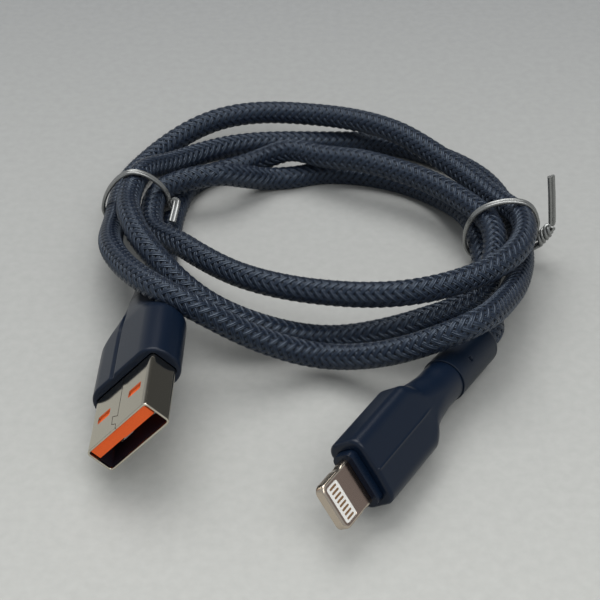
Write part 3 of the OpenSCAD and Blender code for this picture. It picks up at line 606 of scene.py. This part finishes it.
class CABLE_OT_cord(bpy.types.Operator):
    """Lays the braided cord: a dark core and two sets of yarns that wind opposite ways"""
    bl_idname = "cable.cord"
    bl_label = "Braided cord"

    def execute(self, context):
        cord = context.scene.cable_cord
        route = cord_route(cord.diameter)
        yarn_finish = braided_nylon(cord)
        core_radius = cord.diameter / 2 - 0.2 * MM
        coarse = route[::4] if (len(route) - 1) % 4 == 0 else np.vstack([route[::4], route[-1]])
        _, side, up = along(coarse)
        vertices, faces = swept(coarse, core_radius * out_at(full_turn(16)), side, up)
        vertices[:, 2] = np.maximum(vertices[:, 2], 0.03 * MM)
        core = new_piece("cord_core", vertices, faces, "cord_braid",
                         replaces=("charger_lead", "cord_coil", "phone_lead"))
        moving = []
        for name, hand in (("braid_yarns_right_hand", 1), ("braid_yarns_left_hand", -1)):
            vertices, faces, uv = yarn_set(route, cord, hand)
            moving.append(new_piece(name, vertices, faces, "cord_braid", material=yarn_finish, uv=uv))
        # the yarns and everything at the phone end are gathered in a list, which nothing here uses
        replaced = ("phone_lead", "phone_housing", "phone_strain_relief", "phone_tab",
                    "phone_contact_carrier", "phone_contacts_front", "phone_contacts_back")
        moving += [solid for name, solid in frame["nodes"].items()
                   if name.startswith("phone_") and name not in replaced]
        made = ("phone_plug_housing", "phone_relief", "polished_tab", "contact_carrier",
                "contact_bars_front", "contact_bars_back")
        moving += [piece for piece in context.scene.objects if piece.name in made]
        return {"FINISHED"}


# ---- the plugs
def fillet(radius, steps=7):
    """How far along and how far in a rounded edge is, from the face to the side."""
    t = np.linspace(math.pi / 2, 0, steps)
    return radius * (1 - np.sin(t)), radius * (1 - np.cos(t))


def housing_rings(keys, edge, clear, turned):
    """Lengths and outer rings of a housing, with a rounded front edge and the rear edge just broken."""
    front, end = keys[0][0], keys[-1][0]
    ahead, inset = edge
    body = np.arange(front + clear, end - 0.2, 0.25)
    at = np.concatenate([[front, front], front + ahead[1:], body, [end - 0.12, end - 0.03, end]])
    inset = np.concatenate([[inset[0] + 0.04], inset, np.zeros(len(body)), [0, 0.02, 0.06]])
    a, b, r = eased(keys, at)
    return at, rounded(a - inset, b - inset, np.maximum(r - inset, 0.3), turned)


def new_housing(name, plug, at, outer, hollow, mouth, turned, node):
    """Makes a housing from its outer rings, the steps of its hollow from rear to front, and its mouth."""
    steps = [(z, *size) for rear, front, *size in hollow for z in (rear, front)]
    lengths, *sizes = np.array([*steps, mouth]).T
    points = bent(plug, np.concatenate([at, lengths]), np.concatenate([outer, rounded(*sizes, turned)]))
    new_rings(name, points, "black_housing", sharp=40, replaces=(node,))


class CABLE_OT_charger_housing(bpy.types.Operator):
    """Makes the charger plug's moulded housing: broad, with a flute, drawn in to a round neck"""
    bl_idname = "cable.charger_housing"
    bl_label = "Charger housing"

    def execute(self, context):
        # length along the plug, half width, half thickness and corner radius
        front, end = 10.9, 30
        keys = [(front, 7.25, 3.45, 3.1), (21.3, 7.15, 3.45, 3.1), (22.8, 6.4, 3.45, 3.3),
                (24.3, 5.0, 3.4, 3.4), (25.8, 4.0, 3.35, 3.3), (27.3, 3.6, 3.3, 3.3),
                (29, 3.35, 3.25, 3.25), (end, 3.25, 3.25, 3.25)]
        turned = rays(288, 7.25, 3.9)
        at, outer = housing_rings(keys, fillet(0.4), 0.6, turned)
        # the flute along the face seen, which leans and fades out as the housing draws in
        flute_depth = 0.35
        x, y = outer[..., 0], outer[..., 1]
        line = -1.2 + 0.3 * softly(at, 20, 26)[:, None]
        dip = flute_depth * (1 - softly(np.abs(x - line), 0.12, 0.5)) * (y < 0)
        fade = (1 - softly(at, 25, 28.5)) * softly(at, front - 0.1, front + 0.4)
        outer[..., 1] += dip * fade[:, None]
        # for the cord, the crimp, the inner mould's neck, its block and the shell
        hollow = [(end, 28, 1.96, 1.96, 1.96), (28, 24.5, 2.3, 2.3, 2.3), (24.5, 21.45, 3.76, 2.56, 1.2),
                  (21.45, 16.9, 5.96, 2.76, 1.2), (16.9, front + 0.12, 6.03, 2.28, 0.73)]
        mouth = (front, 6.12, 2.37, 0.8)
        new_housing("charger_plug_housing", CHARGER, at, outer, hollow, mouth, turned, "charger_housing")
        return {"FINISHED"}


class CABLE_OT_phone_housing(bpy.types.Operator):
    """Makes the phone plug's moulded housing: slim, with a crease along each broad face"""
    bl_idname = "cable.phone_housing"
    bl_label = "Phone housing"

    def execute(self, context):
        front, end = 7.9, 31.7
        keys = [(front, 5.1, 2.9, 1.7), (20.7, 5.1, 2.9, 1.7), (21.9, 4.75, 2.9, 2.0),
                (23.3, 3.9, 2.92, 2.6), (24.7, 3.55, 3.0, 3.0), (26.2, 3.3, 3.05, 3.05),
                (28.7, 3.05, 3.05, 3.05), (end, 3.05, 3.05, 3.05)]
        turned = rays(288, 5.1, 3.3)
        at, outer = housing_rings(keys, fillet(0.55, 9), 0.8, turned)
        # each broad face is a low roof whose ridge fades out at the shoulder
        roof_height, bead_height = 0.24, 0.08
        x, y = outer[..., 0], outer[..., 1]
        ridge = roof_height * np.clip(1 - np.abs(x) / 3.6, 0, 1) * (1 - softly(at, 20, 25))[:, None]
        ridge += bead_height * np.exp(-((x / 0.14) ** 2)) * (1 - softly(at, 21, 23.5))[:, None]
        outer[..., 1] += ridge * np.sign(y) * (np.abs(y) > 1) * softly(at, front - 0.2, front + 0.5)[:, None]
        hollow = [(end, 28.4, 1.96, 1.96, 1.96), (28.4, 25, 2.3, 2.3, 2.3), (25, 21.2, 2.66, 2.26, 1.1),
                  (21.2, 8.1, 4.26, 2.26, 1.1), (8.1, front + 0.1, 3.99, 1.69, 0.94)]
        mouth = (front, 4.05, 1.75, 0.98)
        new_housing("phone_plug_housing", PHONE, at, outer, hollow, mouth, turned, "phone_housing")
        return {"FINISHED"}


class CABLE_OT_reliefs(bpy.types.Operator):
    """Makes the two strain reliefs: round sleeves with a rolled end and a small blind hole on either side"""
    bl_idname = "cable.reliefs"
    bl_label = "Strain reliefs"

    def execute(self, context):
        bore = 1.95
        # half sizes and depth of a pin's mark
        mark_wide, mark_long, mark_depth = 0.4, 0.3, 0.4
        for name, plug, start, end, front_r, rear_r, lip, pins, node in (
                ("charger_relief", CHARGER, 30, 39, 3.25, 2.7, 0.6, 34.5, "charger_strain_relief"),
                ("phone_relief", PHONE, 31.7, 43.5, 3.25, 3.05, 0.75, 35.6, "phone_strain_relief")):
            edge, inset = fillet(0.07, 4)
            tail, tail_in = fillet(lip, 9)
            body = np.arange(start + 0.25, end - lip - 0.05, 0.12)
            at = np.concatenate([[start], start + edge, body, end - tail[::-1]])
            inset = np.concatenate([[inset[0] + 0.05], inset, np.zeros(len(body)), tail_in[::-1]])
            radius = front_r + (rear_r - front_r) * (at - start) / (end - start) - inset
            turned = full_turn(240)
            # the two oval marks that the mould's pins leave, 50 degrees above the level and opposite
            mark = math.radians(plug["roll"] - 50)
            deep = np.zeros((len(at), len(turned)))
            for side in (0, math.pi):
                across = (turned - mark - side + math.pi) % (2 * math.pi) - math.pi
                away = np.hypot(across[None, :] * front_r / mark_wide, (at[:, None] - pins) / mark_long)
                deep += mark_depth * (1 - softly(away, 0.75, 1.15))
            radius = radius[:, None] - deep
            out = out_at(turned)
            rings = np.concatenate([radius[..., None] * out, [bore * out] * 2])
            points = bent(plug, np.concatenate([at, [end, start]]), rings)
            new_rings(name, points, "black_relief", sharp=40, replaces=(node,))
        return {"FINISHED"}


class CABLE_OT_shell(bpy.types.Operator):
    """Rolls the charger plug's metal shell: a seamed tube with four latch windows"""
    bl_idname = "cable.shell"
    bl_label = "Rolled shell"

    def execute(self, context):
        plug = context.scene.cable_plugs
        a, b, t = plug.shell_width / MM / 2, plug.shell_height / MM / 2, plug.sheet / MM
        length, corner, rim = 16.9, 0.7, 0.1
        edge, inset = fillet(rim, 5)
        # round the sheet's section: along the outside, over the rear end, back inside and round the rim
        at = np.concatenate([edge, [0.4, length, length, 0.4], edge[::-1]])
        into = np.concatenate([inset, [0, 0, t, t], t - inset[::-1]])
        rings = rounded(a - into, b - into, np.maximum(corner - into, 0.35), rays(240, a, b * 1.3))
        lengths = np.broadcast_to(at[:, None, None], (*rings.shape[:2], 1))
        points = placed(CHARGER, np.concatenate([rings, lengths], axis=-1))
        shell = new_rings("rolled_shell", points, "nickel_shell", replaces=("charger_shell",))
        # the inside rows get the dull steel whose dark colour is painted shade in the hollow
        paint_rows(shell, "dull_inside_painted_shade", rings.shape[1], [len(edge) + 2])
        # half sizes and corner of a latch window, and where it lies
        wide, long, soft = 1.25, 0.75, 0.2
        beside, behind = 3.15, 5.3
        cutters = []
        for x in (-beside, beside):
            window = rounded(wide, long, soft, full_turn(48)) + (x, behind)
            cutters.append(prism(window, -b - 1, b + 1, CHARGER))
        # the seam: straight, with one dovetail key near the mouth
        line = np.array([(0.05, -1), (0.05, 0.9), (-0.9, 1.6), (-1.0, 3.3), (0.15, 2.5), (0.15, length + 1)])
        ahead = unit(np.diff(line, axis=0))
        normal = np.stack([-ahead[:, 1], ahead[:, 0]], axis=1)
        mitre = np.vstack([normal[:1], normal[:-1] + normal[1:], normal[-1:]])
        mitre /= np.einsum("ij,ij->i", mitre, np.vstack([normal[:1], normal]))[:, None]
        half_gap = 0.05
        outline = np.vstack([line + half_gap * mitre, (line - half_gap * mitre)[::-1]])
        cutters.append(prism(outline, -b - 0.5, -b + 0.7, CHARGER))
        cut_away(shell, *cutters)
        return {"FINISHED"}


# how far behind the tip the middle of the phone plug's contacts lies, in millimetres
CONTACT_MIDDLE = 1.975


class CABLE_OT_tab(bpy.types.Operator):
    """Makes the phone plug's metal tab: rounded all round its edge, with a window for the contacts"""
    bl_idname = "cable.tab"
    bl_label = "Polished tab"

    def execute(self, context):
        plug = context.scene.cable_plugs
        a, b = plug.tab_width / MM / 2, plug.tab_height / MM / 2
        length, corner, edge = 8.3, 1.1, 0.33
        middle = CONTACT_MIDDLE
        turned = full_turn(360)
        swing = np.linspace(0, math.pi / 2, 8)
        # from the edge's middle up over the top face and down through the window, then the same below
        into = np.concatenate([[0], edge * (1 - np.cos(swing)), [edge + 0.05]])
        rise = np.concatenate([[0], b - edge + edge * np.sin(swing), [b]])
        soft = corner - np.minimum(into, corner - 0.4)
        shape = rounded(a - into, length / 2 - into, soft, full_turn(2000))
        shape[..., 1] += length / 2 - middle
        # the same outlines, taken along rays from the middle of the window
        rings = np.stack([[np.interp(turned, np.arctan2(one[:, 1], one[:, 0]), one[:, k], period=2 * math.pi)
                           for k in (0, 1)] for one in shape]).transpose(0, 2, 1)
        rings[..., 1] += middle
        # a shallow latch hollow in either side, which leaves the faces whole
        x, z = rings[..., 0], rings[..., 1]
        hollow = 0.12 * (1 - softly(np.abs(z - 4.6), 0.1, 0.8)) * np.clip(1 - into / edge, 0, 1)[:, None]
        rings[..., 0] = np.where(np.abs(x) > 2.4, np.sign(x) * (np.abs(x) - hollow), x)
        window = rounded(np.array([2.7, 2.66]), np.array([1.265, 1.225]), np.array([0.36, 0.34]), turned)
        window[..., 1] += middle
        top = np.concatenate([rings, window])
        rise = np.concatenate([rise, [b, b - 0.04]])
        flat = np.concatenate([top, top[::-1]])
        high = np.concatenate([-rise, rise[::-1]])[:, None].repeat(len(turned), axis=1)
        points = placed(PHONE, np.stack([flat[..., 0], high, flat[..., 1]], axis=-1))
        tab = new_rings("polished_tab", points, "polished_tab", replaces=("phone_tab",))
        # the two faces get the brushed steel whose darker, warmer colour is a painted reflection
        paint_rows(tab, "brushed_face_painted_reflection", len(turned), (len(into) - 1, len(high) - len(into) - 1))
        # the slot for the small board, from the window to the tab's rear end
        channel = [(-2.66, 3), (2.66, 3), (2.66, 9), (-2.66, 9)]
        cut_away(tab, prism(channel, -0.39, 0.39, PHONE))
        return {"FINISHED"}


class CABLE_OT_contacts(bpy.types.Operator):
    """Makes the phone plug's white carrier and the row of eight narrow contacts in either face"""
    bl_idname = "cable.contacts"
    bl_label = "Phone contacts"

    def execute(self, context):
        middle, pitch = CONTACT_MIDDLE, 0.63
        plate = rounded(2.65, 1.215, 0.33, full_turn(96)) + (0, middle)
        new_piece("contact_carrier", *prism(plate, -0.71, 0.71, PHONE), "carrier_plastic", sharp=40,
                  replaces=("phone_contact_carrier",))
        bar = rounded(0.15, 0.74, 0.05, full_turn(40))
        for name, low, high in (("front", -0.735, -0.65), ("back", 0.65, 0.735)):
            vertices, faces = [], []
            for k in range(8):
                made, sides = prism(bar + ((k - 3.5) * pitch, middle), low, high, PHONE)
                faces += [tuple(i + len(vertices) for i in face) for face in sides]
                vertices += list(made)
            new_piece("contact_bars_" + name, vertices, faces, "gold_contacts", sharp=40,
                      replaces=("phone_contacts_" + name,))
        return {"FINISHED"}


# ---- the ties
# in millimetres: the middle of the bundle, the foot and top of the twist, how often and how widely
# its strands wind, and the points of the tail
TIES = {
    "right": {"middle": (26.7, 11.4, 5.9), "foot": (32.9, 11.4, 3.9), "top": (34.5, 11.4, 6.3),
              "turns": 1, "radius": 0.75,
              "tail": [(34.75, 11.4, 7.1), (34.7, 11.4, 7.9), (34.25, 11.45, 12.2), (33.75, 11.5, 16.2)]},
    "left": {"middle": (-30.5, 20.8, 5.6), "foot": (-25.2, 20.8, 4.1), "top": (-24.4, 20.5, 5.1),
             "turns": 1, "radius": 0.45,
             "tail": [(-24.1, 19.9, 5.6), (-24.2, 18.6, 5.4), (-24.7, 15.8, 4.3)]},
}
# half the width of a bundle, in millimetres
BUNDLE = 5
# the smaller, the rounder the band, per millimetre
SPRING = 1.0
# how far the band stays open on either side of the twist, in degrees
OPENING = 28
# the way the tail's width points
TAIL_WIDTH = (0.95, 0.3, 0.0)


def held_cords(middle, cords):
    """Where the cords of a bundle pass through the tie's plane."""
    held = []
    for p, q in zip(cords[:-1], cords[1:]):
        if (p[1] - middle[1]) * (q[1] - middle[1]) <= 0 and p[1] != q[1]:
            hit = p + (q - p) * (middle[1] - p[1]) / (q[1] - p[1])
            if abs(hit[0] - middle[0]) < BUNDLE:
                held.append(hit)
    return np.array(held)


def tie_path(name, tie, route, diameter):
    """The line of a tie's ribbon and the way its width points, from the end of its tail round the cords."""
    shape = TIES[name]
    middle, foot, top = (np.array(shape[key], float) for key in ("middle", "foot", "top"))
    held = held_cords(middle, (route - np.array(MIDDLE)) / MM)
    reach = (diameter / 2 + tie.wire / 2 + tie.slack) / MM
    # how far the band stands off in each direction: round, as a springy wire is, and hardly into the cords
    start, opening = math.atan2(foot[2] - middle[2], foot[0] - middle[0]), math.radians(OPENING)
    turned = np.linspace(start + opening, start + 2 * math.pi - opening, 240)
    way = np.stack([np.cos(turned), 0 * turned, np.sin(turned)], axis=1)
    across = np.stack([-np.sin(turned), 0 * turned, np.cos(turned)], axis=1)
    out = np.log(np.exp(SPRING * (held - middle) @ way.T).sum(axis=0)) / SPRING + reach
    loop = middle + out[:, None] * way + np.gradient(out, turned)[:, None] * across
    ahead = unit(top - foot)
    e = unit(np.cross(ahead, (0, 0, 1.0)))
    f = np.cross(e, ahead)

    def strand(first):
        share = np.linspace(0, 1, 60)
        turned = math.radians(first) + 2 * math.pi * shape["turns"] * share
        out = np.cos(turned)[:, None] * e + np.sin(turned)[:, None] * f
        return foot + share[:, None] * (top - foot) + shape["radius"] * out, np.cross(out, ahead)

    one, one_wide = strand(90)
    two, two_wide = strand(-90)
    tail = np.array(shape["tail"], float)[::-1]
    points = np.vstack([tail, one[::-1], loop, two])
    wide = np.vstack([np.tile(TAIL_WIDTH, (len(tail), 1)), one_wide[::-1],
                      np.tile((0, 1.0, 0), (len(loop), 1)), two_wide])
    for k in range(1, len(wide)):
        if wide[k] @ wide[k - 1] < 0:
            wide[k] = -wide[k]
    run = run_of(points)
    at = np.arange(0, run[-1], 0.12)
    weight = np.exp(-np.linspace(-2, 2, 9) ** 2)
    weight /= weight.sum()

    def softened(values):
        ends = np.pad(values, ((4, 4), (0, 0)), mode="edge")
        return np.stack([np.convolve(ends[:, k], weight, "valid") for k in range(3)], axis=1)

    points, wide = (softened(softened(sampled(at, run, v))) for v in (points, wide))
    return points * MM + np.array(MIDDLE), wide


class CABLE_OT_ties(bpy.types.Operator):
    """Makes the two ties: a ribbon of two wires bent round the cords and twisted together"""
    bl_idname = "cable.ties"
    bl_label = "Wire ties"

    def execute(self, context):
        tie, diameter = context.scene.cable_ties, context.scene.cable_cord.diameter
        route = cord_route(diameter)
        half = tie.wire / 2
        turned = np.radians(np.linspace(-120, 120, 13))
        right = np.stack([half * (1 + np.cos(turned)), half * np.sin(turned)], axis=1)
        ring = np.vstack([right, [(0, 0.55 * half)], -right, [(0, -0.55 * half)]])
        for name in ("right", "left"):
            points, wide = tie_path(name, tie, route, diameter)
            ahead = unit(np.gradient(points, axis=0))
            wide = unit(wide - ahead * np.einsum("ij,ij->i", wide, ahead)[:, None])
            vertices, faces = swept(points, ring, wide, np.cross(ahead, wide))
            new_piece("wire_tie_" + name, vertices, faces, "tie_plastic", sharp=50, replaces=(name + "_tie",))
        return {"FINISHED"}


# ---- finishes and stage
class CABLE_OT_finishes(bpy.types.Operator):
    """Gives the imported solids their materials"""
    bl_idname = "cable.finishes"
    bl_label = "Finishes"

    def execute(self, context):
        slots = {s["node"]: s["material_slot"] for s in frame["record"]["subparts"]}
        for node, obj in frame["nodes"].items():
            for s in obj.material_slots:
                s.material = finish(slots[node])
        return {"FINISHED"}


# half the floor's width, in metres
FLOOR_REACH = 4.0
# the direction of the room's darker end
DARK_END = (0.3, 0.93, 0.21)
# side in metres, power in watts and place: the main light stands high at the back, a weaker one in front
LAMPS = {"main_softbox": (0.6, 4.0, (-0.12, 0.3, 0.7)), "fill_softbox": (0.5, 1.85, (0.24, -0.3, 0.62))}
# the camera's place in millimetres, how far it looks down in degrees, and its lens in millimetres
CAMERA_AT, CAMERA_FALL, CAMERA_LENS = (-4.4, -190.0, 153.3), 38.68, 96


class CABLE_OT_stage(bpy.types.Operator):
    """Sets the pale floor, the soft studio light and the camera"""
    bl_idname = "cable.stage"
    bl_label = "Stage"

    def execute(self, context):
        scene = context.scene
        scene.view_settings.view_transform = "Standard"
        corners = [(x * FLOOR_REACH, y * FLOOR_REACH, 0) for x, y in ((-1, -1), (1, -1), (1, 1), (-1, 1))]
        floor = linked("floor", mesh_of("floor", corners, [(0, 1, 2, 3)], outward=False))
        # matt card, with painted shade that makes it a little darker towards the back
        material, tree, shader = finish_of("Pale Matt Card", Roughness=0.9)
        place = put(tree, "ShaderNodeTexCoord").outputs["Object"]
        y = put(tree, "ShaderNodeSeparateXYZ", {0: place}).outputs[1]
        share = mapped(tree, y, -0.07, 0.13, 0.0, 1.0)
        painted_falloff_greys = {"Factor": share, "A": linear("#bdbdb8"), "B": linear("#888989")}
        tone = put(tree, "ShaderNodeMix", painted_falloff_greys, data_type="RGBA").outputs["Result"]
        fibre = put(tree, "ShaderNodeTexNoise", {"Vector": place, "Scale": 700.0, "Detail": 4.0}).outputs[0]
        fibre = spread(tree, fibre, 0.96, 1.03)
        tone = put(tree, "ShaderNodeVectorMath", {0: tone, "Scale": fibre}, operation="SCALE")
        tree.links.new(tone.outputs[0], shader.inputs["Base Color"])
        floor.data.materials.append(material)

        world = bpy.data.worlds.new("Studio")
        scene.world = world
        world.use_nodes = True
        # an even soft light all round, but for the darker end of the room behind the cable
        tree = world.node_tree
        sky = tree.nodes["Background"]
        sky.inputs[0].default_value = (0.92, 0.96, 1.0, 1)
        way = put(tree, "ShaderNodeTexCoord").outputs["Generated"]
        facing = put(tree, "ShaderNodeVectorMath", {0: way, 1: DARK_END}, operation="DOT_PRODUCT")
        level = mapped(tree, facing.outputs["Value"], 0.55, 0.85, 0.48, 0.08, interpolation_type="SMOOTHSTEP")
        tree.links.new(level, sky.inputs[1])

        for name, (side, power, spot) in LAMPS.items():
            lamp = bpy.data.lights.new(name, "AREA")
            lamp.shape = "SQUARE"
            lamp.size, lamp.energy = side, power
            light = linked(name, lamp)
            light.location = spot
            light.rotation_euler = (-Vector(spot)).to_track_quat("-Z", "Y").to_euler()

        camera = linked("camera", bpy.data.cameras.new("camera"))
        camera.data.sensor_width = 36
        camera.data.lens = CAMERA_LENS
        camera.location = in_place(CAMERA_AT)
        camera.rotation_euler = (math.radians(90 - CAMERA_FALL), 0, 0)
        scene.camera = camera
        return {"FINISHED"}


class CABLE_PT_panel(bpy.types.Panel):
    """Lists the cable's settings and the steps that make it"""
    bl_idname = "CABLE_PT_panel"
    bl_label = "Charging cable"
    bl_space_type = "VIEW_3D"
    bl_region_type = "UI"
    bl_category = "Cable"

    def draw(self, context):
        for settings in (context.scene.cable_cord, context.scene.cable_plugs, context.scene.cable_ties):
            for name in settings.__annotations__:
                self.layout.prop(settings, name)
        for operator in OPERATORS:
            self.layout.operator(operator.bl_idname)


OPERATORS = (CABLE_OT_stage, CABLE_OT_shell, CABLE_OT_charger_housing, CABLE_OT_tab, CABLE_OT_contacts,
             CABLE_OT_phone_housing, CABLE_OT_reliefs, CABLE_OT_cord, CABLE_OT_ties, CABLE_OT_finishes)
CLASSES = (CordSettings, PlugSettings, TieSettings, *OPERATORS, CABLE_PT_panel)


def register():
    for made in CLASSES:
        bpy.utils.register_class(made)
    bpy.types.Scene.cable_cord = bpy.props.PointerProperty(type=CordSettings)
    bpy.types.Scene.cable_plugs = bpy.props.PointerProperty(type=PlugSettings)
    bpy.types.Scene.cable_ties = bpy.props.PointerProperty(type=TieSettings)


def unregister():
    del bpy.types.Scene.cable_ties
    del bpy.types.Scene.cable_plugs
    del bpy.types.Scene.cable_cord
    for made in reversed(CLASSES):
        bpy.utils.unregister_class(made)


def main():
    register()
    bpy.ops.cable.stage()
    bpy.ops.cable.shell()
    bpy.ops.cable.charger_housing()
    bpy.ops.cable.tab()
    bpy.ops.cable.contacts()
    bpy.ops.cable.phone_housing()
    bpy.ops.cable.reliefs()
    bpy.ops.cable.cord()
    bpy.ops.cable.ties()
    bpy.ops.cable.finishes()


if __name__ == "__main__":
    main()
